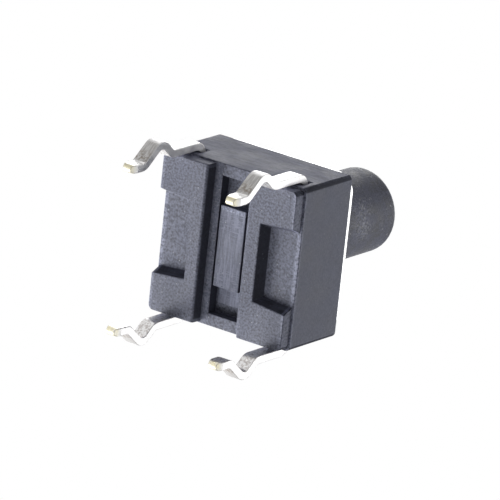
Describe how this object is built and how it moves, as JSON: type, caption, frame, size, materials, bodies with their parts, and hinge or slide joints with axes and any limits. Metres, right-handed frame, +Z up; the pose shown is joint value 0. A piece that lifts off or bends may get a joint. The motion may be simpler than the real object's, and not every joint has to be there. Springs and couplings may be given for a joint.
{
  "type": "tactile push button switch",
  "caption": "Small square through-hole push button switch with a tall round plunger, a metal cover plate and kinked solder legs.",
  "frame": {"origin": "centre of the leg grid, on the plane of the feet rails that rest on the circuit board", "axes": "+Z up the plunger, away from the board; Y across the two rows of legs, along the feet rails; X along each row of legs"},
  "size_m": [0.006, 0.0076, 0.0115],
  "materials": {
    "housing_plastic": "fine matte moulded grain",
    "plunger_plastic": "matte, slightly mottled",
    "plated_brass": "bright silver plating, bare at the cut ends",
    "dome_steel": "satin",
    "cover_steel": "satin"
  },
  "bodies": {
    "base": {"housing": "housing_plastic", "contact_strip_center": "plated_brass", "contact_strip_rim": "plated_brass", "cover_plate": "cover_steel", "snap_dome": "dome_steel"},
    "plunger": {"plunger": "plunger_plastic"}
  },
  "joints": [
    {"name": "plunger_press", "type": "slide", "parent": "base", "child": "plunger", "axis": [0, 0, -1], "range_m": [0, 0.00025], "stiffness_N_per_m": 6400, "deforming": ["snap_dome"]}
  ]
}
